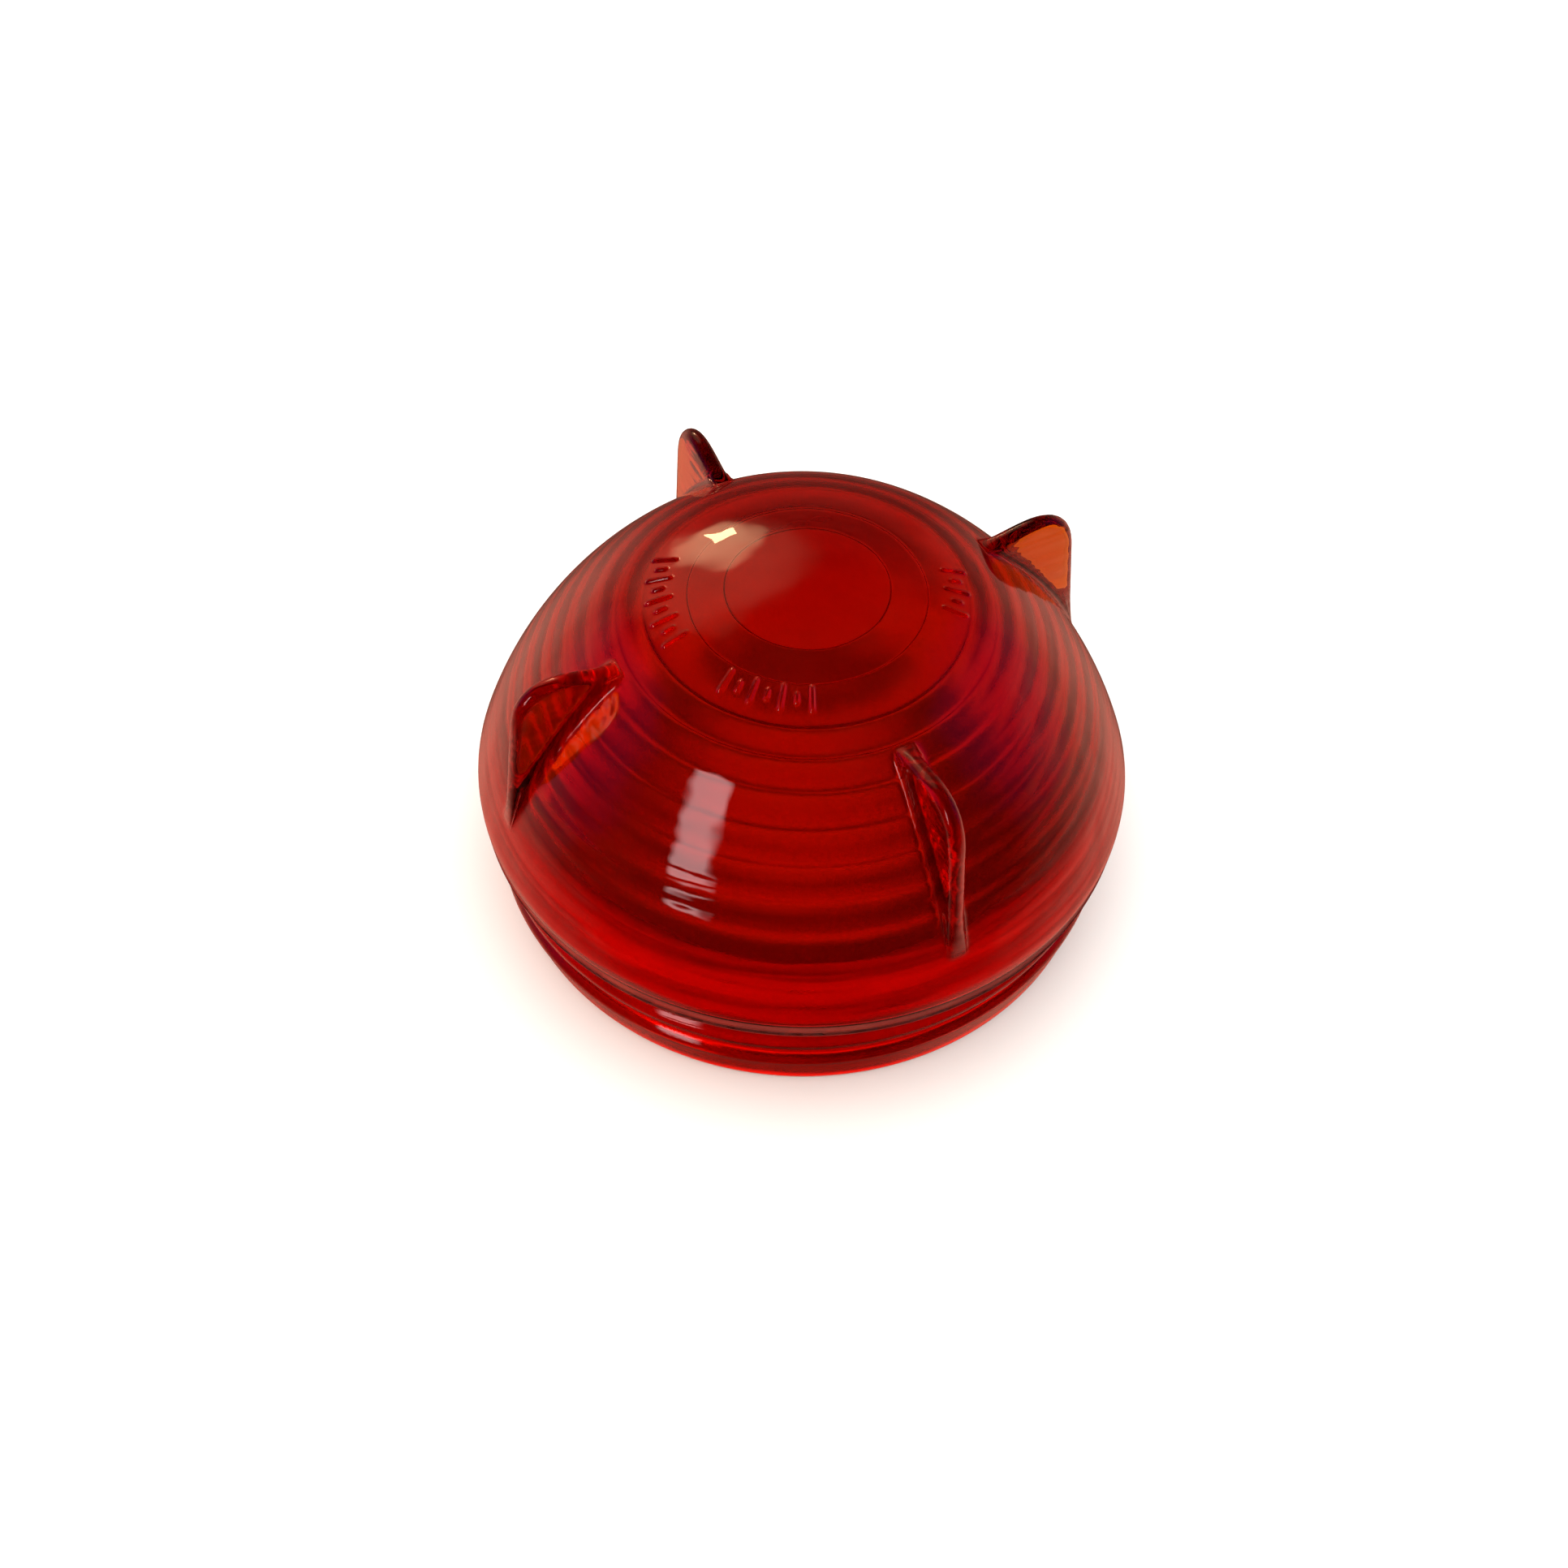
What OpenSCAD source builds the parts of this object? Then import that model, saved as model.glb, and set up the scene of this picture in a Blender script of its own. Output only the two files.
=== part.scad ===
// Screw-in lamp lens, pressed in one piece from ruby glass, with its rubber sealing ring.
// Millimetres. The lens stands on its rim at z = 0, dome up, with its axis on Z.
// Two of the four grip fins lie on the X axis and two on the Y axis.

/* [Dome] */
// Diameter of the flange, the widest part of the glass
flange_d = 100; // [84:1:120]
// Height of the flange's straight edge
flange_t = 1.6; // [1.2:0.1:2.4]
// Height of the dome's apex above the sealing face
dome_h = 38.2; // [32:0.1:46]
// Slope of the dome where it leaves the flange, in degrees
foot_slope = 70; // [66:1:74]
// Slope where the side arc meets the shoulder arc, in degrees
shoulder_slope = 42; // [38:1:46]
// Slope where the shoulder arc meets the cap, in degrees
cap_slope = 20; // [16:1:24]
// Radius of the shoulder arc
shoulder_r = 25; // [20:1:30]
// Thickness of the glass, before the flutes are pressed into it
wall = 4.5; // [3.8:0.1:5.4]

/* [Flutes and rings] */
// Number of ring flutes inside the side of the dome
side_flutes = 5; // [4:1:6]
// Number of ring flutes inside the shoulder
shoulder_flutes = 2; // [1:1:2]
// Depth of the flutes
flute_depth = 1.2; // [0.8:0.1:1.5]
// Share of a flute's width that its long face takes
flute_face = 0.8; // [0.7:0.02:0.86]
// Radius of the bullseye in the middle of the cap
bullseye_r = 11.3; // [9:0.1:13.5]
// Width of the ring zone round the bullseye
ring_zone_w = 5.1; // [3.5:0.1:6]
// Depth of the steps on the cap
ring_depth = 0.5; // [0.3:0.1:0.8]

/* [Fins] */
// Number of grip fins
fin_count = 4; // [2:1:6]
// Thickness of a fin
fin_t = 2.9; // [2.4:0.1:3.6]
// Radius at which a fin's ridge leaves the dome
fin_inner_r = 28.5; // [26:0.1:33]
// How far a fin's upper corner lies inside the flange's edge
fin_corner_in = 6.6; // [4:0.1:9]
// Height of a fin's upper corner below the dome's apex
fin_corner_drop = 3.6; // [2.5:0.1:6]
// Rounding of a fin's upper corner
fin_corner_r = 8; // [5:0.1:9]
// Height of a fin's lower end above the sealing face
fin_foot_h = 7.2; // [5:0.1:10]
// How deep a fin is rooted in the glass
fin_root = 1.4; // [1:0.1:2]

/* [Raised marks] */
// Radius of the circle on which the marks stand
mark_circle_r = 20.8; // [17:0.1:22]
// Length of a long mark
mark_l = 3.8; // [2.5:0.1:4.5]
// Length of a short mark
short_mark_l = 1.8; // [1.2:0.1:2.4]
// Width of a mark
mark_w = 0.8; // [0.6:0.1:1.2]
// Height of the marks above the glass
mark_h = 0.45; // [0.3:0.05:0.7]
// Angle between neighbouring marks, in degrees
mark_step = 5.5; // [4.5:0.1:8]

/* [Neck and thread] */
// Height of the neck, from its rim to the sealing face
neck_h = 19; // [16:0.5:23]
// Width of the sealing face, from the neck's plain band to the flange's edge
seat_w = 1.5; // [1.4:0.1:3]
// How far the thread's crest lies inside the plain band
crest_in = 0.05; // [0.05:0.05:0.3]
// Depth of the thread
thread_depth = 1.2; // [0.8:0.1:1.5]
// Pitch of the right-hand thread
thread_pitch = 4.7; // [4:0.1:5.6]
// Width of the thread's rounded ridge at its foot
thread_w = 3.8; // [3.2:0.1:3.9]
// Height of the middle of the thread's lower end above the rim
thread_start = 3; // [2.5:0.1:4]
// Thickness of the neck's glass at the thread's root
neck_wall = 4; // [3.2:0.1:5]
// Taper of the neck's inner wall, in degrees
draft = 1; // [0.5:0.1:2]
// Width of the bevels along the rim
rim_bevel = 0.7; // [0.4:0.1:1]

/* [Sealing ring] */
// Thickness of the ring, seated under the flange
ring_t = 2.5; // [1.8:0.1:3]
// Gap between the ring and the neck
ring_gap = 0.2; // [0.2:0.05:0.4]
// How far the ring's outer edge lies inside the flange's edge
ring_inset = 0.1; // [0.1:0.05:0.3]
// Width of the bevels along the ring's outer edges
ring_bevel = 0.3; // [0.2:0.05:0.4]

/* [Hidden] */
$fn = 96;
arc_step = 3;                     // degrees between two points of the dome's outline
bullseye_points = 4;              // points along the bullseye's inner face
corner_points = 6;                // points along a fin's rounded corner
mark_groups = [[162, 9], [-131, 7], [-27, 5]];   // direction of each group, and its marks
mark_root = 0.6;                  // how deep a mark is rooted in the glass
thread_sides = 48;                // sections in one turn of the thread
thread_fade = 75;                 // degrees over which each end of the thread fades out
thread_points = 7;                // points across the thread's rounded ridge
thread_sink = 0.35;               // how far the thread's edges dip into the neck

flange_r = flange_d / 2;
band_r = flange_r - seat_w;
band_z = neck_h - ring_t;
crest_r = band_r - crest_in;
root_r = crest_r - thread_depth;
bore_r = root_r - neck_wall;
apex_z = neck_h + dome_h;

// The dome's outline is three arcs in line: side, shoulder and cap. The side arc's radius
// is the one that brings the apex to its height.
cap_rise = tan(cap_slope / 2);
shoulder_run = shoulder_r * (sin(shoulder_slope) - sin(cap_slope));
shoulder_rise = shoulder_r * (cos(cap_slope) - cos(shoulder_slope));
side_r = (dome_h - flange_t - shoulder_rise - (flange_r - shoulder_run) * cap_rise)
    / (cos(shoulder_slope) - cos(foot_slope) - (sin(foot_slope) - sin(shoulder_slope)) * cap_rise);
side_c = [flange_r, neck_h + flange_t] - side_r * [sin(foot_slope), cos(foot_slope)];
shoulder_c = side_c + (side_r - shoulder_r) * [sin(shoulder_slope), cos(shoulder_slope)];
cap_r = shoulder_c[0] / sin(cap_slope) + shoulder_r;
cap_c = [0, apex_z - cap_r];

// The point of the dome that has a given slope, at a given depth under the outer face.
function dome_point(slope, depth) =
    slope > shoulder_slope ? side_c + (side_r - depth) * [sin(slope), cos(slope)]
    : slope > cap_slope ? shoulder_c + (shoulder_r - depth) * [sin(slope), cos(slope)]
    : cap_c + (cap_r - depth) * [sin(slope), cos(slope)];

// The slope of the outer face at a given radius, and on the side at a given height.
function slope_at_r(r) =
    let (side = (r - side_c[0]) / side_r, shoulder = (r - shoulder_c[0]) / shoulder_r)
    side > sin(shoulder_slope) ? asin(side)
    : shoulder > sin(cap_slope) ? asin(shoulder)
    : asin(r / cap_r);
function side_slope_at_z(z) = acos((z - side_c[1]) / side_r);

// Evenly spaced slopes from one to another, both included.
function slopes(from, to) =
    let (count = ceil(abs(to - from) / arc_step))
    [for (i = [0 : count]) from + (to - from) * i / count];

// A row of flutes, each running from full thickness to its deepest line.
function flutes(from, to, count) =
    let (step = (to - from) / count)
    [for (i = [0 : count - 1]) each [
        dome_point(from + step * i, wall),
        dome_point(from + step * (i + flute_face), wall - flute_depth)
    ]];

// The point of the cap at a given radius and depth, and a ring zone with its upright step.
function cap_point(r, depth) = [r, cap_c[1] + sqrt(pow(cap_r - depth, 2) - r * r)];
function ring_zone(from_r, to_r) = [cap_point(from_r, wall), cap_point(to_r, wall - ring_depth)];

ring_r = bullseye_r + ring_zone_w;
cap_edge_r = (cap_r - wall) * sin(cap_slope);
flutes_start = asin((bore_r - tan(draft) * neck_h - side_c[0]) / (side_r - wall));

outer_outline = [
    [root_r - rim_bevel, 0],
    [root_r, rim_bevel],
    [root_r, band_z - thread_depth],
    [band_r, band_z],
    [band_r, neck_h],
    [flange_r, neck_h],
    each [for (a = slopes(foot_slope, 0)) dome_point(a, 0)]
];
inner_outline = [
    [bore_r + rim_bevel, 0],
    [bore_r, rim_bevel],
    each flutes(flutes_start, shoulder_slope, side_flutes),
    each flutes(shoulder_slope, cap_slope, shoulder_flutes),
    each ring_zone(cap_edge_r, ring_r),
    each ring_zone(ring_r, bullseye_r),
    each [for (i = [bullseye_points : -1 : 0])
        let (t = i / bullseye_points)
        cap_point(bullseye_r * t, wall + ring_depth * (1 - t * t))]
];

module shell() {
    rotate_extrude() polygon([
        each outer_outline,
        each [for (i = [len(inner_outline) - 1 : -1 : 0]) inner_outline[i]]
    ]);
}

// A fin's outline in the plane of the axis: ridge, rounded corner, outer edge, root.
fin_inner_slope = slope_at_r(fin_inner_r);
fin_foot_slope = side_slope_at_z(neck_h + fin_foot_h);
fin_inner = dome_point(fin_inner_slope, 0);
fin_foot = dome_point(fin_foot_slope, 0);
fin_corner = [flange_r - fin_corner_in, apex_z - fin_corner_drop];

function toward(from, to, length) = from + (to - from) * length / norm(to - from);
function rounded(from, corner, to) = [
    for (i = [0 : corner_points])
        let (t = i / corner_points)
        (1 - t) * (1 - t) * from + 2 * t * (1 - t) * corner + t * t * to
];
fin_outline = [
    fin_inner,
    each rounded(toward(fin_corner, fin_inner, fin_corner_r), fin_corner,
        toward(fin_corner, fin_foot, fin_corner_r)),
    fin_foot,
    each [for (a = slopes(fin_foot_slope, fin_inner_slope)) dome_point(a, fin_root)]
];

module fins() {
    for (i = [0 : fin_count - 1])
        rotate([0, 0, 360 * i / fin_count]) rotate([90, 0, 0])
            translate([0, 0, -fin_t / 2]) linear_extrude(fin_t) polygon(fin_outline);
}

// Plain raised bars with round ends, long and short in turn, pointing at the axis.
module mark(length) {
    straight = length - mark_w;
    translate([-straight / 2, -mark_w / 2, -mark_root]) cube([straight, mark_w, mark_root + mark_h]);
    for (side = [-1, 1])
        translate([side * straight / 2, 0, -mark_root]) cylinder(d = mark_w, h = mark_root + mark_h);
}

module marks() {
    slope = slope_at_r(mark_circle_r);
    place = dome_point(slope, 0);
    for (group = mark_groups, i = [0 : group[1] - 1])
        rotate([0, 0, group[0] + (i - (group[1] - 1) / 2) * mark_step])
            translate([place[0], 0, place[1]]) rotate([0, slope, 0])
                mark(i % 2 == 0 ? mark_l : short_mark_l);
}

// The thread is one rounded ridge that climbs the neck and runs out under the plain band.
thread_sections = ceil((band_z - thread_start) / thread_pitch * thread_sides);
thread_section_points = thread_points + 2;

function thread_section(i) =
    let (
        turn = 360 * i / thread_sides,
        z = thread_start + thread_pitch * turn / 360,
        left = 360 * (thread_sections - i) / thread_sides,
        fade = min(1, turn / thread_fade, left / thread_fade),
        foot_r = root_r - thread_sink,
        profile = [
            [foot_r - thread_sink, -thread_w / 2],
            each [for (j = [0 : thread_points - 1])
                let (across = j / (thread_points - 1) - 0.5)
                [foot_r + (thread_sink + thread_depth) * fade * cos(180 * across), across * thread_w]],
            [foot_r - thread_sink, thread_w / 2]
        ]
    )
    [for (p = profile) [p[0] * cos(turn), p[0] * sin(turn), z + p[1]]];

module thread() {
    n = thread_section_points;
    sides = [for (i = [0 : thread_sections - 1], j = [0 : n - 1])
        let (a = i * n + j, b = i * n + (j + 1) % n)
        each [[a, b, b + n], [a, b + n, a + n]]];
    first = [for (j = [n - 1 : -1 : 0]) j];
    last = [for (j = [0 : n - 1]) thread_sections * n + j];
    polyhedron([for (i = [0 : thread_sections]) each thread_section(i)], [first, each sides, last]);
}

module lens() {
    color([0.62, 0.03, 0.02]) union() {
        shell();
        fins();
        marks();
        thread();
    }
}

module sealing_ring() {
    inner_r = band_r + ring_gap;
    outer_r = flange_r - ring_inset;
    color([0.42, 0.13, 0.09]) rotate_extrude() polygon([
        [inner_r, band_z],
        [outer_r - ring_bevel, band_z],
        [outer_r, band_z + ring_bevel],
        [outer_r, neck_h - ring_bevel],
        [outer_r - ring_bevel, neck_h],
        [inner_r, neck_h]
    ]);
}

lens();
sealing_ring();
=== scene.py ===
import math

import bmesh
import bpy
import numpy as np
from mathutils import Matrix, Vector


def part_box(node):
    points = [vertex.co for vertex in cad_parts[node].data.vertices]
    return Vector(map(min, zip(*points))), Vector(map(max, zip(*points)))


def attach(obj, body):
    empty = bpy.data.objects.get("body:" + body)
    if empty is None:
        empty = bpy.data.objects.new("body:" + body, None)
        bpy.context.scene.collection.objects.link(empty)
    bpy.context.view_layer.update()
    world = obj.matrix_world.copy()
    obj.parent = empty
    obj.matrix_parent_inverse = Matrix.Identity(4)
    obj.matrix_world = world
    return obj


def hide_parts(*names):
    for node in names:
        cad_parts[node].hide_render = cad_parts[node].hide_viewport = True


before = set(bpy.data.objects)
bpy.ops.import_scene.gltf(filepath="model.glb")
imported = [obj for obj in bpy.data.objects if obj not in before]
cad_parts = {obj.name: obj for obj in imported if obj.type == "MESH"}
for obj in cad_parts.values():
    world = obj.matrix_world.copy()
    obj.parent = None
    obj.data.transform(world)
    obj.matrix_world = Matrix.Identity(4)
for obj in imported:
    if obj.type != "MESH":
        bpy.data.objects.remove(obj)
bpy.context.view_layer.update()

# ---- The lens -------------------------------------------------------------------------------
# One piece of ruby glass, pressed between a mould, which makes the dome, the four grip fins,
# the raised marks and the thread, and a plunger, which makes the ring flutes inside.
# It screws into the lamp's collar by hand. All sizes are in millimetres.
MM = 0.001
lens_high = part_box("lens")[1] / MM
seal_low, seal_high = (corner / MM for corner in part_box("sealing_ring"))

flange_r = lens_high.x
apex_z = lens_high.z
neck_h = seal_high.z
band_z = seal_low.z
flange_t = 1.6
seat_w = 1.5
foot_slope, shoulder_slope, cap_slope = 70, 42, 20
shoulder_r = 25
wall = 4.5

band_r = flange_r - seat_w
thread_depth = 1.2
crest_below_band = 0.05
thread_root_r = band_r - crest_below_band - thread_depth
neck_wall = 4
bore_r = thread_root_r - neck_wall
rim_edge_r = 0.7


def sin(degrees):
    return math.sin(math.radians(degrees))


def cos(degrees):
    return math.cos(math.radians(degrees))


# The dome's outline is three arcs in line: side, shoulder and cap.
cap_rise = math.tan(math.radians(cap_slope / 2))
shoulder_run = shoulder_r * (sin(shoulder_slope) - sin(cap_slope))
shoulder_rise = shoulder_r * (cos(cap_slope) - cos(shoulder_slope))
side_r = (apex_z - neck_h - flange_t - shoulder_rise - (flange_r - shoulder_run) * cap_rise) / (
    cos(shoulder_slope) - cos(foot_slope)
    - (sin(foot_slope) - sin(shoulder_slope)) * cap_rise
)
side_c = np.array([flange_r - side_r * sin(foot_slope), neck_h + flange_t - side_r * cos(foot_slope)])
shoulder_c = side_c + (side_r - shoulder_r) * np.array([sin(shoulder_slope), cos(shoulder_slope)])
cap_r = shoulder_c[0] / sin(cap_slope) + shoulder_r
cap_c = np.array([0, apex_z - cap_r])


def arc_at(slope):
    """Centre and radius of the arc that has this slope."""
    if slope > shoulder_slope:
        return side_c, side_r
    if slope > cap_slope:
        return shoulder_c, shoulder_r
    return cap_c, cap_r


def dome_point(slope, depth=0.0):
    """Radius and height of the dome's point of this slope, at a depth under the outer face."""
    centre, radius = arc_at(slope)
    return centre + (radius - depth) * np.array([sin(slope), cos(slope)])


def slope_at(radius):
    """Slope of the dome's outer face at this radius."""
    for centre, arc_r, low in ((side_c, side_r, shoulder_slope), (shoulder_c, shoulder_r, cap_slope)):
        share = (radius - centre[0]) / arc_r
        if share > sin(low):
            return math.degrees(math.asin(share))
    return math.degrees(math.asin(radius / cap_r))


def curve(start, corner, end, count):
    """Points of the rounded corner between two edges, both ends included."""
    share = np.linspace(0, 1, count)[:, None]
    return (1 - share) ** 2 * start + 2 * share * (1 - share) * corner + share**2 * end


def toward(start, end, length):
    return start + (end - start) * length / np.linalg.norm(end - start)


# A fin's outline, and its height above the dome measured square to the glass.
fin_t = 2.9
fin_start_r = 28.5
fin_foot_rise = 7.2
fin_corner_in, fin_corner_down = 6.6, 3.6
fin_corner_run = 8
fin_foot_z = neck_h + fin_foot_rise
fin_start_slope = slope_at(fin_start_r)
fin_foot_slope = math.degrees(math.acos((fin_foot_z - side_c[1]) / side_r))
fin_start = dome_point(fin_start_slope)
fin_foot = dome_point(fin_foot_slope)
fin_corner = np.array([flange_r - fin_corner_in, apex_z - fin_corner_down])
bend_start = toward(fin_corner, fin_start, fin_corner_run)
bend_end = toward(fin_corner, fin_foot, fin_corner_run)
ridge = np.vstack([
    np.linspace(fin_start, bend_start, 40),
    curve(bend_start, fin_corner, bend_end, 30)[1:],
    np.linspace(bend_end, fin_foot, 40)[1:],
])
ridge_slopes, ridge_heights = [], []
for point in ridge:
    for centre, arc_r, low in ((side_c, side_r, shoulder_slope), (shoulder_c, shoulder_r, 0)):
        run, rise = point - centre
        slope = math.degrees(math.atan2(run, rise))
        if slope > low:
            ridge_slopes.append(slope)
            ridge_heights.append(math.hypot(run, rise) - arc_r)
            break

# Across a fin: a fillet out of the dome, a slightly drafted side and a fully rounded ridge.
fin_fillet_r = 1.1
fin_draft_top, fin_draft_foot = 0.1, 0.15
fin_ridge_r = fin_t / 2 - fin_draft_top
fin_half_foot = fin_t / 2 + fin_draft_foot
fin_full = fin_fillet_r + fin_ridge_r


def fin_half_section(height):
    """Offsets and heights from the dome to the middle of the ridge, for a fin of this height."""
    full = max(height, fin_full)
    turn = np.radians(np.linspace(0, 90, 6))
    fillet = np.stack([
        fin_half_foot + fin_fillet_r * (1 - np.sin(turn)),
        fin_fillet_r * (1 - np.cos(turn)),
    ], axis=1)
    side = np.linspace([fin_half_foot, fin_fillet_r], [fin_ridge_r, full - fin_ridge_r], 8)[1:-1]
    top = np.stack([
        fin_ridge_r * np.cos(turn),
        full - fin_ridge_r + fin_ridge_r * np.sin(turn),
    ], axis=1)
    half = np.vstack([fillet, side, top])
    half[:, 1] *= height / full
    return half


fin_offsets = fin_half_section(0)[:, 0]
fin_offsets = np.concatenate([-fin_offsets, fin_offsets[-2::-1]])
fin_columns_least_r = 26
plain_columns = 72

# Marks on the cap's edge: plain bars with round ends, long and short in turn.
mark_circle_r = 20.8
mark_w, mark_h = 0.8, 0.4
mark_skirt, mark_edge_w = 0.15, 0.5
mark_zone_w = 2.5
mark_step = 5.5
mark_lengths = (3.8, 1.8)
marks = []
for middle, count in ((162, 9), (-131, 7), (-27, 5)):
    for i in range(count):
        marks.append((middle + (i - (count - 1) / 2) * mark_step, mark_lengths[i % 2]))

# The thread: one rounded ridge that climbs the neck and runs out under the plain band.
thread_pitch = 4.7
thread_w = 3.8
thread_sharpness = 1.3
thread_start = 3.0
thread_turns = (band_z - thread_start) / thread_pitch
thread_fade = 75 / 360

vertices = []
faces = []


def add_ring(points):
    """Adds one ring of points round the axis and returns its vertex numbers."""
    first = len(vertices)
    vertices.extend(map(tuple, points))
    return list(range(first, len(vertices)))


def revolve(radius, height, angles):
    turn = np.radians(angles)
    return np.stack([radius * np.cos(turn), radius * np.sin(turn), np.full_like(turn, height)], axis=1)


def join(lower, upper):
    """Faces between two rings of the same number of points."""
    count = len(lower)
    for i in range(count):
        j = (i + 1) % count
        faces.append((lower[i], lower[j], upper[j], upper[i]))


def stitch(lower, lower_angles, upper, upper_angles):
    """Faces between two rings whose points stand at different angles."""
    i = j = 0
    while i < len(lower) or j < len(upper):
        next_i = lower_angles[i + 1] if i + 1 < len(lower) else lower_angles[0] + 360
        next_j = upper_angles[j + 1] if j + 1 < len(upper) else upper_angles[0] + 360
        a, b = lower[i % len(lower)], upper[j % len(upper)]
        if j >= len(upper) or (i < len(lower) and next_i <= next_j):
            faces.append((a, lower[(i + 1) % len(lower)], b))
            i += 1
        else:
            faces.append((a, upper[(j + 1) % len(upper)], b))
            j += 1


def close(ring, height):
    """Closes a small ring at the axis."""
    middle = add_ring([(0, 0, height)])[0]
    for i in range(len(ring)):
        faces.append((ring[i], ring[(i + 1) % len(ring)], middle))


def outer_angles(radius):
    """Angles of the outer columns: close together across each fin, even in between."""
    across = np.degrees(np.arcsin(fin_offsets / max(radius, fin_columns_least_r)))
    between = np.linspace(across[-1], 90 + across[0], plain_columns + 1)[1:-1]
    quarter = np.concatenate([across, between])
    return np.concatenate([quarter + 90 * i for i in range(4)])


# Outside, from the rim up: rounded rim edge, threaded neck, plain band, flange.
neck_rows_from, neck_row_step = 1, 0.35
band_corner_r, flange_low_r, flange_top_r = 0.3, 0.4, 0.6
flange_edge_turn = 0.6
outer_rows = [tuple(p) for p in curve(
    np.array([thread_root_r - rim_edge_r, 0]), np.array([thread_root_r, 0]),
    np.array([thread_root_r, rim_edge_r]), 5)]
outer_rows += [
    (thread_root_r, z) for z in np.arange(neck_rows_from, band_z - thread_depth, neck_row_step)]
outer_rows += [tuple(p) for p in np.linspace(
    [thread_root_r, band_z - thread_depth], [band_r, band_z], 4)]
outer_rows += [(band_r, z) for z in np.linspace(band_z, neck_h - band_corner_r, 4)[1:]]
outer_rows += [tuple(p) for p in curve(
    np.array([band_r, neck_h - band_corner_r]), np.array([band_r, neck_h]),
    np.array([band_r + band_corner_r, neck_h]), 4)[1:]]
outer_rows += [tuple(p) for p in curve(
    np.array([flange_r - flange_low_r, neck_h]), np.array([flange_r, neck_h]),
    np.array([flange_r, neck_h + flange_low_r]), 5)]
outer_rows += [tuple(p) for p in curve(
    np.array([flange_r, neck_h + flange_t - flange_top_r]), np.array([flange_r, neck_h + flange_t]),
    dome_point(foot_slope - flange_edge_turn), 5)]


def thread_height(angles, z):
    """How far the thread stands out of the neck at this height, for each angle."""
    turn = (np.asarray(angles) % 360) / 360
    best = np.zeros_like(turn)
    for lap in range(-1, int(thread_turns) + 2):
        along = turn + lap
        across = (z - thread_start - thread_pitch * along) / thread_w
        fade = np.clip(np.minimum(along, thread_turns - along) / thread_fade, 0, 1)
        ridge_shape = np.cos(np.pi * np.clip(across, -0.5, 0.5)) ** thread_sharpness
        best = np.maximum(best, thread_depth * fade * ridge_shape)
    return best


previous = None
for radius, z in outer_rows:
    angles = outer_angles(flange_r)
    out = thread_height(angles, z) if radius <= thread_root_r and z > rim_edge_r else 0
    ring = add_ring(revolve(radius + out, z, angles))
    if previous:
        join(previous, ring)
    else:
        rim_outer = ring
    previous = ring

# Outside, the dome with its fins, up to just above their starts.
fin_zone_end_r, dome_row_step = 25.5, 0.55
fin_zone = np.arange(foot_slope - 2 * flange_edge_turn, slope_at(fin_zone_end_r), -dome_row_step)
for slope in fin_zone:
    radius, z = dome_point(slope)
    points = revolve(radius, z, outer_angles(radius))
    if fin_start_slope <= slope <= fin_foot_slope:
        height = np.interp(slope, ridge_slopes, ridge_heights)
    else:
        height = 0
    half = fin_half_section(height)[:, 1]
    lift = np.concatenate([half, half[-2::-1]])
    for i in range(4):
        first = i * (len(fin_offsets) + plain_columns - 1)
        out = Vector((cos(90 * i), sin(90 * i), 0)) * sin(slope) + Vector((0, 0, cos(slope)))
        points[first:first + len(lift)] += lift[:, None] * np.array(out)
    ring = add_ring(points)
    join(previous, ring)
    previous = ring
previous_angles = outer_angles(dome_point(fin_zone[-1])[0])

# Outside, the zone of the marks, with columns close together across each mark.
mark_half_reach = 0.65
mark_row_step, plain_column_step, least_column_gap = 0.2, 2.5, 1.2
mark_columns = np.linspace(-mark_half_reach, mark_half_reach, 10) / math.radians(mark_circle_r)
mark_angles = [(angle + across) % 360 for angle, _ in marks for across in mark_columns]
for angle in np.arange(0, 360, plain_column_step):
    if all(abs((angle - other + 180) % 360 - 180) > least_column_gap for other in mark_angles):
        mark_angles.append(angle)
mark_angles = np.array(sorted(mark_angles))


def mark_height(radius, angles):
    """How far the marks stand out of the glass at this radius, for each angle."""
    best = np.zeros(len(angles))
    for angle, length in marks:
        aside = np.radians((angles - angle + 180) % 360 - 180) * mark_circle_r
        along = max(abs(radius - mark_circle_r) - (length - mark_w) / 2, 0)
        share = np.clip((mark_w / 2 + mark_skirt - np.hypot(aside, along)) / mark_edge_w, 0, 1)
        best = np.maximum(best, mark_h * share**2 * (3 - 2 * share))
    return best


previous_angles = previous_angles % 360
order = np.argsort(previous_angles)
previous = [previous[i] for i in order]
previous_angles = previous_angles[order]
mark_zone_from, mark_zone_to = mark_circle_r + mark_zone_w, mark_circle_r - mark_zone_w
for radius in np.arange(mark_zone_from, mark_zone_to - mark_row_step / 2, -mark_row_step):
    slope = slope_at(radius)
    radius, z = dome_point(slope)
    out = mark_height(radius, mark_angles)
    points = revolve(radius, z, mark_angles)
    turn = np.radians(mark_angles)
    points += out[:, None] * np.stack(
        [sin(slope) * np.cos(turn), sin(slope) * np.sin(turn), np.full_like(turn, cos(slope))], axis=1)
    ring = add_ring(points)
    if len(previous_angles) == len(mark_angles):
        join(previous, ring)
    else:
        stitch(previous, previous_angles, ring, mark_angles)
    previous, previous_angles = ring, mark_angles

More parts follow.
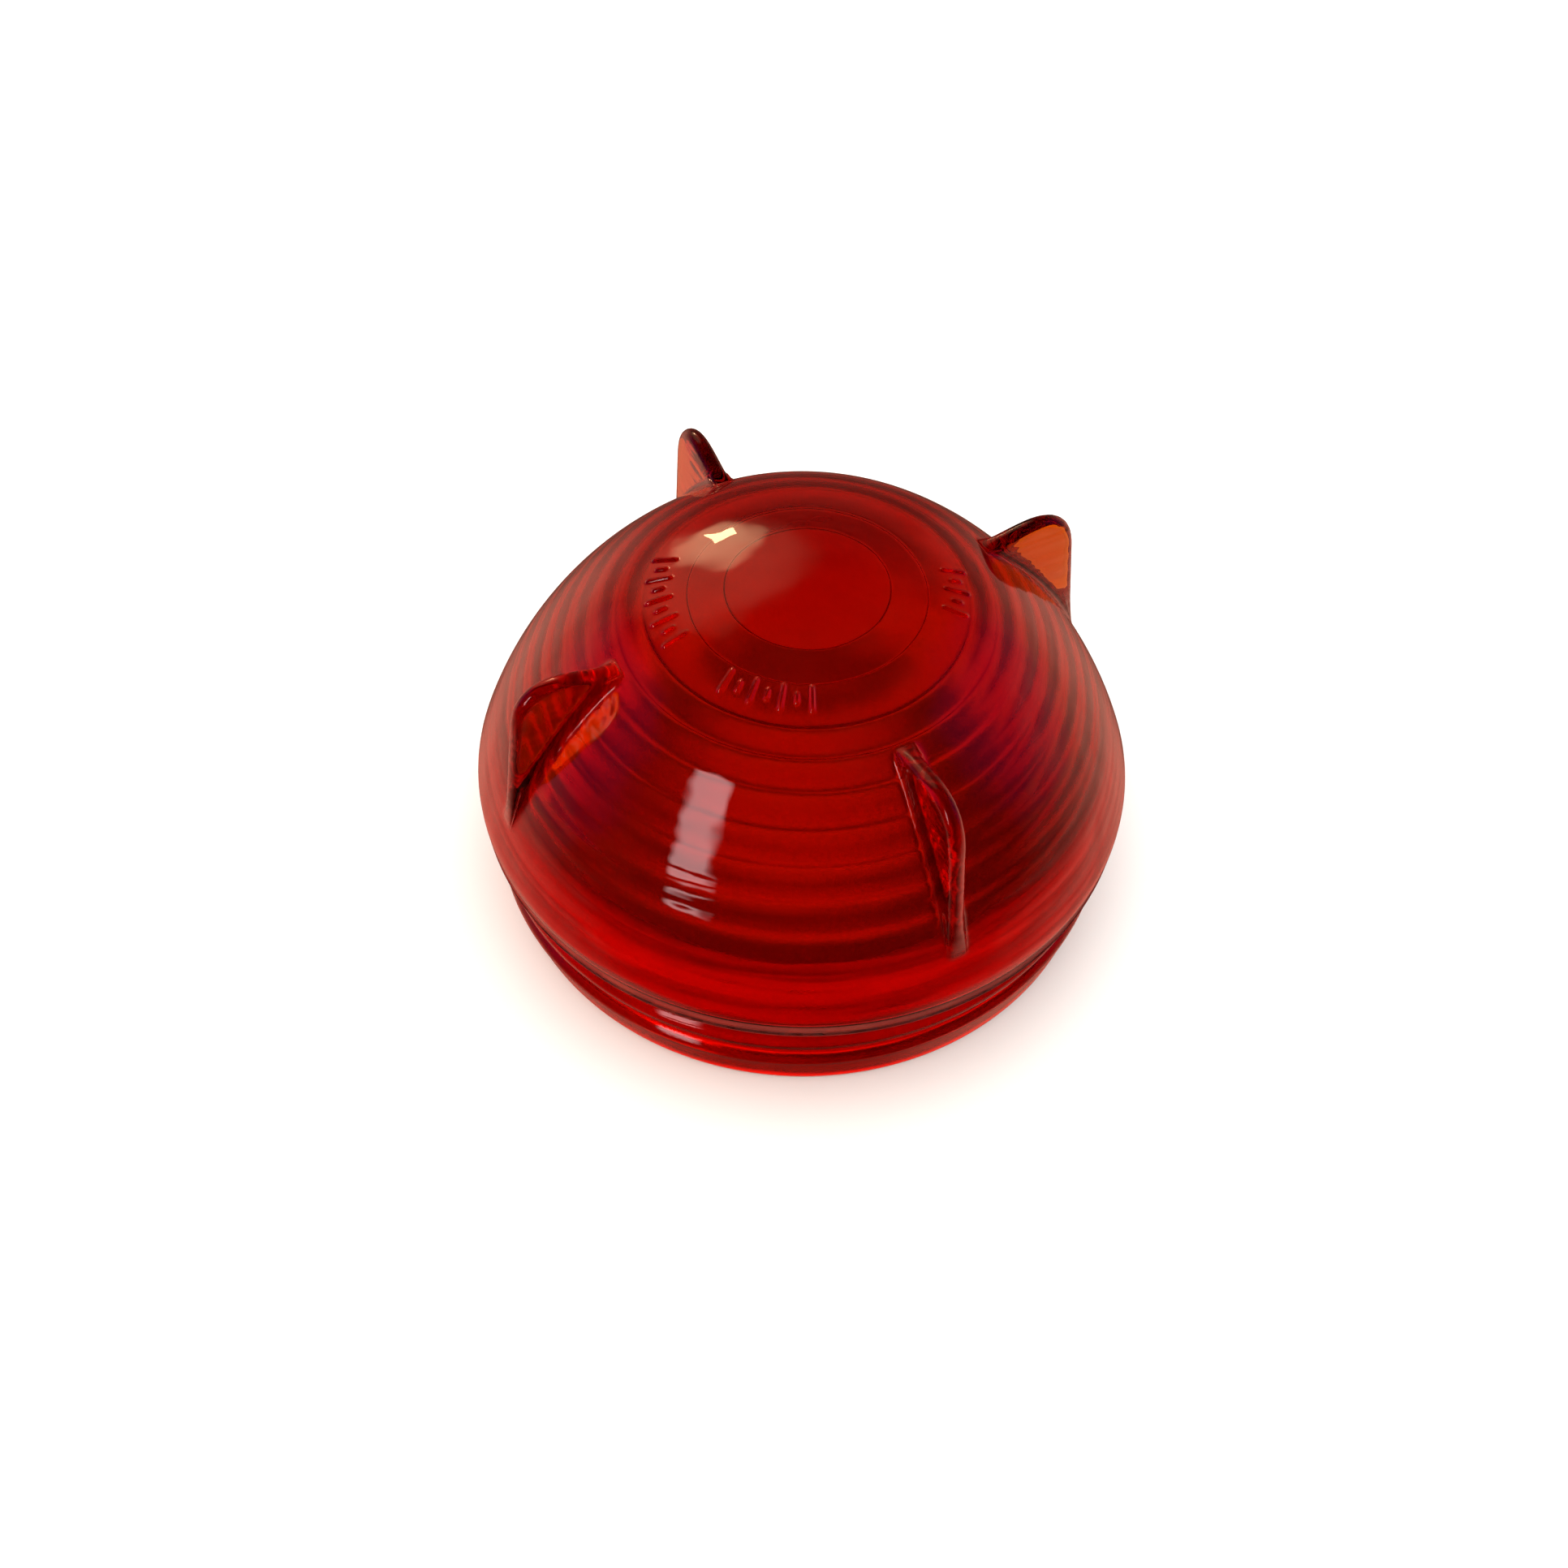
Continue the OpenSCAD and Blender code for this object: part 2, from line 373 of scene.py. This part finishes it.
# Outside, the middle of the cap.
even_angles = np.arange(0, 360, 1.5)
cap_rows_from, cap_row_step, smallest_cap_r = mark_circle_r - 3.4, 1.0, 0.5
for radius in np.arange(cap_rows_from, smallest_cap_r, -cap_row_step):
    ring = add_ring(revolve(radius, dome_point(slope_at(radius))[1], even_angles))
    if len(previous) == len(even_angles):
        join(previous, ring)
    else:
        stitch(previous, previous_angles, ring, even_angles)
    previous = ring
close(previous, apex_z)

# Inside: flutes of the side and the shoulder, then two ring steps and a bullseye on the cap.
side_flutes, shoulder_flutes = 5, 2
flute_depth, flute_face = 1.0, 0.75
flute_edge_r, step_edge_r = 1.6, 0.5
ring_depth = 0.5
bullseye_r, ring_zone_r = 11.3, 16.4
bullseye_edge_w = 1
draft = math.tan(math.radians(1))


def flutes(from_slope, to_slope, count):
    step = (to_slope - from_slope) / count
    for i in range(count):
        yield dome_point(from_slope + step * i, wall)
        yield dome_point(from_slope + step * (i + flute_face), wall - flute_depth)


def cap_point(radius, depth):
    return np.array([radius, cap_c[1] + math.sqrt((cap_r - depth) ** 2 - radius**2)])


flutes_start = math.degrees(math.asin((bore_r - draft * neck_h - side_c[0]) / (side_r - wall)))
cap_edge_r = (cap_r - wall) * sin(cap_slope)
inner_outline = [
    np.array([bore_r + rim_edge_r, 0]),
    np.array([bore_r, rim_edge_r]),
    *flutes(flutes_start, shoulder_slope, side_flutes),
    *flutes(shoulder_slope, cap_slope, shoulder_flutes),
    cap_point(cap_edge_r, wall), cap_point(ring_zone_r, wall - ring_depth),
    cap_point(ring_zone_r, wall), cap_point(bullseye_r, wall - ring_depth),
    cap_point(bullseye_r, wall),
]


def soften(outline, radius):
    """The outline from its first point to its last corner, with each corner rounded."""
    just_under_half = 0.47
    rows = [outline[0]]
    for before, corner, after in zip(outline, outline[1:], outline[2:]):
        legs = [min(radius, just_under_half * np.linalg.norm(corner - end)) for end in (before, after)]
        rows.extend(curve(
            toward(corner, before, legs[0]), corner, toward(corner, after, legs[1]), 6))
    return rows


flutes_end = 2 + 2 * (side_flutes + shoulder_flutes)
inner_rows = soften(inner_outline[:flutes_end + 1], flute_edge_r)
bullseye_edge = cap_point(bullseye_r - bullseye_edge_w, wall)
inner_rows += soften(inner_outline[flutes_end:] + [bullseye_edge], step_edge_r)
inner_rows += [
    cap_point(bullseye_r * share, wall + ring_depth * (1 - share**2))
    for share in np.linspace(0.9, 0.06, 9)
]
first_inner = len(vertices)
previous = None
for radius, z in inner_rows:
    ring = add_ring(revolve(radius, z, even_angles))
    if previous:
        join(ring, previous)
    else:
        rim_inner = ring
    previous = ring
close(previous[::-1], cap_point(0, wall + ring_depth)[1])

rim_angles = outer_angles(flange_r) % 360
order = np.argsort(rim_angles)
stitch(rim_inner, even_angles, [rim_outer[i] for i in order], rim_angles[order])


def mesh_piece(name, points, polygons):
    """A smooth closed piece from points in millimetres, facing outwards."""
    mesh = bpy.data.meshes.new(name)
    mesh.from_pydata([[x * MM for x in point] for point in points], [], polygons)
    work = bmesh.new()
    work.from_mesh(mesh)
    bmesh.ops.recalc_face_normals(work, faces=work.faces)
    work.to_mesh(mesh)
    work.free()
    mesh.shade_smooth()
    piece = bpy.data.objects.new(name, mesh)
    bpy.context.scene.collection.objects.link(piece)
    return piece


def linear(colour):
    """An sRGB hex colour as linear red, green, blue and full alpha."""
    parts = [int(colour[i:i + 2], 16) / 255 for i in (1, 3, 5)]
    return [*(p / 12.92 if p <= 0.04045 else ((p + 0.055) / 1.055) ** 2.4 for p in parts), 1]


def add_node(tree, kind, settings=None, links=None):
    """Adds one node to a tree, with its settings and what is linked to its inputs."""
    node = tree.nodes.new(kind)
    for name, value in (settings or {}).items():
        if name in node.inputs.keys() or isinstance(name, int):
            node.inputs[name].default_value = value
        else:
            setattr(node, name, value)
    for name, source in (links or {}).items():
        tree.links.new(source, node.inputs[name])
    return node


def new_material(name):
    material = bpy.data.materials.new(name)
    material.use_nodes = True
    material.node_tree.nodes.clear()
    return material, material.node_tree


# Ruby glass, pressed and fire-polished. It passes red, a little yellow and no blue, so thin
# glass looks amber and thick glass deep red. Turning marks of the mould, 1.25 mm apart, and the
# slow waves of its chill ripple what it mirrors, and the plunger's side is duller.
turning_gap, turning_run, chill_wave = 1.25 * MM, 16.667 * MM, 7.692 * MM
chill_weight = 3.0
skin_relief = 0.08 * MM
plunger_dullness = 0.3
ruby_glass, tree = new_material("pressed_ruby_glass")
place = add_node(tree, "ShaderNodeTexCoord").outputs["Object"]
drawn_out = add_node(
    tree, "ShaderNodeVectorMath",
    {"operation": "MULTIPLY", 1: (1 / turning_run, 1 / turning_run, 1 / turning_gap)}, {0: place})
turning = add_node(
    tree, "ShaderNodeTexNoise", {"Scale": 1.0, "Detail": 0.0}, {"Vector": drawn_out.outputs[0]})
chill = add_node(
    tree, "ShaderNodeTexNoise", {"Scale": 1 / chill_wave, "Detail": 1.0}, {"Vector": place})
relief = add_node(
    tree, "ShaderNodeMath", {"operation": "MULTIPLY_ADD", 1: chill_weight},
    {0: chill.outputs["Fac"], 2: turning.outputs["Fac"]})
skin = add_node(
    tree, "ShaderNodeBump", {"Strength": 1.0, "Distance": skin_relief},
    {"Height": relief.outputs[0]})
inside = add_node(
    tree, "ShaderNodeAttribute", {"attribute_name": "plunger_side", "attribute_type": "GEOMETRY"})
haze = add_node(
    tree, "ShaderNodeMapRange", {"From Min": 0.3, "From Max": 0.7, "To Min": 0.0, "To Max": 0.03},
    {"Value": chill.outputs["Fac"]})
dullness = add_node(
    tree, "ShaderNodeMath", {"operation": "MULTIPLY_ADD", 1: plunger_dullness},
    {0: inside.outputs["Fac"], 2: haze.outputs[0]})
glass = add_node(
    tree, "ShaderNodeBsdfPrincipled",
    {"Base Color": linear("#ffe4dc"), "Transmission Weight": 1.0, "IOR": 1.52},
    {"Roughness": dullness.outputs[0], "Normal": skin.outputs[0]})
depth_of_colour = add_node(
    tree, "ShaderNodeVolumeAbsorption", {"Color": (0.988, 0.83, 0.0, 1), "Density": 3000})
add_node(
    tree, "ShaderNodeOutputMaterial",
    links={"Surface": glass.outputs[0], "Volume": depth_of_colour.outputs[0]})

lens = mesh_piece("glass_lens", vertices, faces)
plunger_side = lens.data.attributes.new("plunger_side", "FLOAT", "POINT")
for i, point in enumerate(plunger_side.data):
    point.value = 1.0 if i >= first_inner else 0.0
lens.data.materials.append(ruby_glass)
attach(lens, "glass")
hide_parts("lens")

# ---- The sealing ring -----------------------------------------------------------------------
# A flat ring of moulded red rubber, pushed up the neck against the flange. It seals the lens
# on the lamp's collar. A thin flash line runs round it where its mould halves met.
seal_gap = 0.2
seal_edge_r = 0.35
flash, flash_half_w = 0.06, 0.12
bore_end = 0.2
seal_inner_r = band_r + seal_gap
seal_outer_r = seal_high.x
seal_section = [
    np.array([seal_inner_r, band_z + bore_end]), np.array([seal_inner_r, band_z]),
    np.array([seal_outer_r - flash, band_z]), np.array([seal_outer_r - flash, neck_h]),
    np.array([seal_inner_r, neck_h]), np.array([seal_inner_r, neck_h - bore_end]),
]
seal_rows = soften(seal_section, seal_edge_r)
seal_middle = (band_z + neck_h) / 2
split = len(seal_rows) // 2
seal_rows[split:split] = [
    np.array([seal_outer_r - flash, seal_middle - flash_half_w]),
    np.array([seal_outer_r, seal_middle]),
    np.array([seal_outer_r - flash, seal_middle + flash_half_w]),
]
vertices, faces = [], []
seal_angles = np.arange(0, 360, 2)
rings = [add_ring(revolve(radius, z, seal_angles)) for radius, z in seal_rows]
for lower, upper in zip(rings, rings[1:] + rings[:1]):
    join(lower, upper)

# Red gasket rubber, moulded: matte, brick red going brown, with pale dust in patches. The grain
# of a mould's face is finer than a render shows, so it is drawn as coarse as 0.4 mm.
grain_gap, dust_patch = 0.4 * MM, 6.25 * MM
grain_relief = 0.05 * MM
seal_rubber, tree = new_material("moulded_seal_rubber")
place = add_node(tree, "ShaderNodeTexCoord").outputs["Object"]
grain = add_node(
    tree, "ShaderNodeTexNoise", {"Scale": 1 / grain_gap, "Detail": 4.0}, {"Vector": place})
dust = add_node(
    tree, "ShaderNodeTexNoise", {"Scale": 1 / dust_patch, "Detail": 5.0}, {"Vector": place})
dust_share = add_node(
    tree, "ShaderNodeMapRange", {"From Min": 0.5, "From Max": 0.8, "To Max": 0.35},
    {"Value": dust.outputs["Fac"]})
colour = add_node(
    tree, "ShaderNodeMix", {"data_type": "RGBA", 6: linear("#7c2016"), 7: linear("#8e4a38")},
    {0: dust_share.outputs[0]})
dullness = add_node(
    tree, "ShaderNodeMapRange", {"To Min": 0.6, "To Max": 0.85}, {"Value": grain.outputs["Fac"]})
skin = add_node(
    tree, "ShaderNodeBump", {"Strength": 0.6, "Distance": grain_relief},
    {"Height": grain.outputs["Fac"]})
rubber = add_node(
    tree, "ShaderNodeBsdfPrincipled", {"IOR": 1.5, "Specular IOR Level": 0.25},
    {"Base Color": colour.outputs[2], "Roughness": dullness.outputs[0], "Normal": skin.outputs[0]})
add_node(tree, "ShaderNodeOutputMaterial", links={"Surface": rubber.outputs[0]})

seal = mesh_piece("rubber_seal", vertices, faces)
seal.data.materials.append(seal_rubber)
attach(seal, "seal")
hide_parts("sealing_ring")

# ---- The camera -----------------------------------------------------------------------------
# It looks down at the front left of the lens from a quarter of a metre away.
view_azimuth = -27.5
view_elevation = 50.37
camera_distance = 0.25
camera_aim = Vector((0, 0, 0.0178))
camera_roll = math.radians(1.87)
film_w, focal_length = 36, 36.559


def direction(azimuth, elevation):
    """Unit vector at an azimuth from the view's own, anticlockwise from above, and an elevation."""
    return Vector((
        sin(view_azimuth + azimuth) * cos(elevation),
        -cos(view_azimuth + azimuth) * cos(elevation),
        sin(elevation),
    ))


camera_data = bpy.data.cameras.new("camera")
camera = bpy.data.objects.new("camera", camera_data)
bpy.context.scene.collection.objects.link(camera)
toward_camera = direction(0, view_elevation)
camera.location = camera_aim + toward_camera * camera_distance
camera.rotation_mode = "QUATERNION"
level = (-toward_camera).to_track_quat("-Z", "Y")
camera.rotation_quaternion = level @ Matrix.Rotation(camera_roll, 3, "Z").to_quaternion()
camera_data.sensor_width = film_w
camera_data.lens = focal_length
camera_data.shift_x = -0.0117
camera_data.shift_y = -0.0202
camera_data.clip_start = 0.01
bpy.context.scene.camera = camera

# ---- The floor ------------------------------------------------------------------------------
# A sheet of matte white paper, far larger than the lens. It isn't part of the object. Under the
# lens its colour holds painted red light and painted shade, and through the glass the paper that
# lies further out gets a painted shade, dimmer and warmer than it looks directly.
shade_core, shade_edge = (10 * MM, 36 * MM), (39 * MM, 46 * MM)
dim_edge, dim_centre = (60 * MM, 95 * MM), direction(0, 0) * 22 * MM
painted_shade_paper, tree = new_material("matte_paper_with_painted_glow_and_shade")
place = add_node(tree, "ShaderNodeTexCoord").outputs["Object"]
from_axis = add_node(tree, "ShaderNodeVectorMath", {"operation": "LENGTH"}, {0: place})
outside = add_node(
    tree, "ShaderNodeMapRange",
    {"From Min": shade_edge[0], "From Max": shade_edge[1], "interpolation_type": "SMOOTHSTEP"},
    {"Value": from_axis.outputs["Value"]})
off_centre = add_node(
    tree, "ShaderNodeMapRange",
    {"From Min": shade_core[0], "From Max": shade_core[1], "interpolation_type": "SMOOTHSTEP"},
    {"Value": from_axis.outputs["Value"]})
# Painted red light and painted shade under the lens: pinkish red in the middle, dark brown from 36 mm out,
# white from 46 mm out.
inside = add_node(
    tree, "ShaderNodeMix", {"data_type": "RGBA", 6: linear("#b87870"), 7: linear("#5c463e")},
    {0: off_centre.outputs[0]})
shade = add_node(
    tree, "ShaderNodeMix", {"data_type": "RGBA", 7: linear("#f4f2ee")},
    {0: outside.outputs[0], 6: inside.outputs[2]})
# Painted shade: seen through the glass, paper lying 60 to 95 mm out from a point 22 mm off the axis toward
# the camera's side is drawn dimmer and warmer.
through = add_node(tree, "ShaderNodeLightPath").outputs["Is Transmission Ray"]
from_front = add_node(
    tree, "ShaderNodeVectorMath", {"operation": "DISTANCE", 1: tuple(dim_centre)}, {0: place})
far = add_node(
    tree, "ShaderNodeMapRange",
    {"From Min": dim_edge[0], "From Max": dim_edge[1], "interpolation_type": "SMOOTHSTEP"},
    {"Value": from_front.outputs["Value"]})
dimmed = add_node(
    tree, "ShaderNodeMath", {"operation": "MULTIPLY"}, {0: through, 1: far.outputs[0]})
seen = add_node(
    tree, "ShaderNodeMix", {"data_type": "RGBA", "blend_type": "MULTIPLY", 7: linear("#a89068")},
    {0: dimmed.outputs[0], 6: shade.outputs[2]})
paper = add_node(
    tree, "ShaderNodeBsdfPrincipled", {"Roughness": 0.9}, {"Base Color": seen.outputs[2]})
add_node(tree, "ShaderNodeOutputMaterial", links={"Surface": paper.outputs[0]})
floor_mesh = bpy.data.meshes.new("floor")
floor_half = 1
floor_gap = 0.2 * MM
floor_mesh.from_pydata(
    [(x * floor_half, y * floor_half, 0) for x, y in ((-1, -1), (1, -1), (1, 1), (-1, 1))],
    [], [(0, 1, 2, 3)])
floor = bpy.data.objects.new("floor", floor_mesh)
bpy.context.scene.collection.objects.link(floor)
floor.location.z = -floor_gap
floor_mesh.materials.append(painted_shade_paper)
floor.visible_glossy = False

# ---- The lights -----------------------------------------------------------------------------
# A large soft light overhead, a warm one low on the left and a small lamp behind. The glass
# mirrors the room: dim and warm low down, with patches of lamplight behind, a faint violet patch
# on each side and a window on the left. The camera itself sees a plain pale backdrop instead.


def area_light(name, toward_light, distance, size, radiance, colour, in_reflections=True):
    data = bpy.data.lights.new(name, "AREA")
    data.shape = "RECTANGLE"
    data.size, data.size_y = size
    data.energy = radiance * math.pi * size[0] * size[1]
    data.color = linear(colour)[:3]
    light = bpy.data.objects.new(name, data)
    bpy.context.scene.collection.objects.link(light)
    light.location = camera_aim + toward_light * distance
    light.rotation_mode = "QUATERNION"
    light.rotation_quaternion = toward_light.to_track_quat("Z", "Y")
    light.visible_glossy = in_reflections


area_light("overhead", Vector((0, 0, 1)), 0.9, (1.8, 1.8), 2.1, "#ffffff", in_reflections=False)
area_light("warm_side", direction(-75, 8), 0.45, (0.7, 0.16), 6.0, "#ff9a50", in_reflections=False)
area_light("lamp", direction(180 + 18, 28), 1.0, (0.08, 0.05), 20, "#ffd8a0")

world = bpy.data.worlds.new("studio")
bpy.context.scene.world = world
world.use_nodes = True
tree = world.node_tree
tree.nodes.clear()
sight = add_node(tree, "ShaderNodeTexCoord").outputs["Generated"]
away = direction(180, 0)
room_tilt = 0.75
behind = add_node(
    tree, "ShaderNodeVectorMath", {"operation": "DOT_PRODUCT", 1: tuple(away)}, {0: sight})
above = add_node(tree, "ShaderNodeSeparateXYZ", links={"Vector": sight}).outputs["Z"]
lean = add_node(
    tree, "ShaderNodeMath", {"operation": "MULTIPLY_ADD", 1: -room_tilt},
    {0: behind.outputs["Value"], 2: above})
room = add_node(
    tree, "ShaderNodeMapRange",
    {"From Min": -0.8, "From Max": 0.25, "To Min": 1.2, "To Max": 0.02, "interpolation_type": "SMOOTHSTEP"},
    {"Value": lean.outputs[0]})
aside = add_node(
    tree, "ShaderNodeVectorMath", {"operation": "DOT_PRODUCT", 1: tuple(direction(90, 0))}, {0: sight})
off_axis = add_node(tree, "ShaderNodeMath", {"operation": "ABSOLUTE"}, {0: aside.outputs["Value"]})
gap = add_node(
    tree, "ShaderNodeMapRange",
    {"From Min": 0.2, "From Max": 0.7, "To Min": 0.15, "To Max": 1.0, "interpolation_type": "SMOOTHSTEP"},
    {"Value": off_axis.outputs[0]})
low_room = add_node(
    tree, "ShaderNodeMath", {"operation": "MULTIPLY"}, {0: room.outputs[0], 1: gap.outputs[0]})
mirrored = add_node(
    tree, "ShaderNodeBackground", {"Color": linear("#ffa890")}, {"Strength": low_room.outputs[0]})
for colour, azimuth, elevation, edge, middle, strength in (
    ("#ffaa88", 204, 37, 0.92, 0.99, 0.9),
    ("#ffc898", 198, 28, 0.987, 0.9995, 4.0),
    ("#a038c0", -100, 18, 0.80, 0.97, 0.25),
    ("#a038c0", 105, 24, 0.80, 0.97, 0.25),
):
    toward = add_node(
        tree, "ShaderNodeVectorMath",
        {"operation": "DOT_PRODUCT", 1: tuple(direction(azimuth, elevation))}, {0: sight})
    patch = add_node(
        tree, "ShaderNodeMapRange",
        {"From Min": edge, "From Max": middle, "To Max": strength, "interpolation_type": "SMOOTHSTEP"},
        {"Value": toward.outputs["Value"]})
    wall_part = add_node(
        tree, "ShaderNodeBackground", {"Color": linear(colour)}, {"Strength": patch.outputs[0]})
    mirrored = add_node(
        tree, "ShaderNodeAddShader", links={0: mirrored.outputs[0], 1: wall_part.outputs[0]})

# A tall soft-edged window that leans a little, with a bar across it near its foot.
window_lean = math.radians(14)
upright = direction(-39, 26).to_track_quat("Z", "Y")
leaning = upright @ Matrix.Rotation(window_lean, 3, "Z").to_quaternion()
facing = add_node(
    tree, "ShaderNodeMapping",
    {"vector_type": "POINT", "Rotation": leaning.inverted().to_euler()}, {"Vector": sight})
across_up = add_node(tree, "ShaderNodeSeparateXYZ", links={"Vector": facing.outputs[0]})
window_light = None
for axis, middle, start, stop, outer, inner in (
    ("X", 0.0, 0.07, 0.14, 0.0, 1.0),
    ("Y", -0.04, 0.25, 0.31, 0.0, 1.0),
    ("Y", -0.25, 0.012, 0.035, 1.0, 0.0),
    ("Z", 1.0, 0.3, 0.5, 0.0, 6.0),
):
    offset = add_node(
        tree, "ShaderNodeMath", {"operation": "SUBTRACT", 1: middle}, {0: across_up.outputs[axis]})
    distance = add_node(tree, "ShaderNodeMath", {"operation": "ABSOLUTE"}, {0: offset.outputs[0]})
    share = add_node(
        tree, "ShaderNodeMapRange",
        {"From Min": start, "From Max": stop, "To Min": inner, "To Max": outer,
         "interpolation_type": "SMOOTHSTEP"},
        {"Value": distance.outputs[0]})
    if window_light:
        share = add_node(
            tree, "ShaderNodeMath", {"operation": "MULTIPLY"},
            {0: window_light.outputs[0], 1: share.outputs[0]})
    window_light = share
window = add_node(
    tree, "ShaderNodeBackground", {"Color": linear("#ffd8d8")}, {"Strength": window_light.outputs[0]})
mirrored = add_node(tree, "ShaderNodeAddShader", links={0: mirrored.outputs[0], 1: window.outputs[0]})
ambient = add_node(tree, "ShaderNodeBackground", {"Color": linear("#fffaf4"), "Strength": 0.45})
ray = add_node(tree, "ShaderNodeLightPath")
backdrop = add_node(tree, "ShaderNodeBackground", {"Color": linear("#fbf8f4"), "Strength": 1.0})
unseen = add_node(
    tree, "ShaderNodeMixShader", links={
        0: ray.outputs["Is Glossy Ray"], 1: ambient.outputs[0], 2: mirrored.outputs[0]})
studio = add_node(
    tree, "ShaderNodeMixShader", links={
        0: ray.outputs["Is Camera Ray"], 1: unseen.outputs[0], 2: backdrop.outputs[0]})
add_node(tree, "ShaderNodeOutputWorld", links={"Surface": studio.outputs[0]})

scene = bpy.context.scene
scene.view_settings.view_transform = "Standard"
scene.cycles.max_bounces = 24
scene.cycles.transmission_bounces = 24
scene.cycles.glossy_bounces = 8
scene.cycles.diffuse_bounces = 4
scene.cycles.use_denoising = True
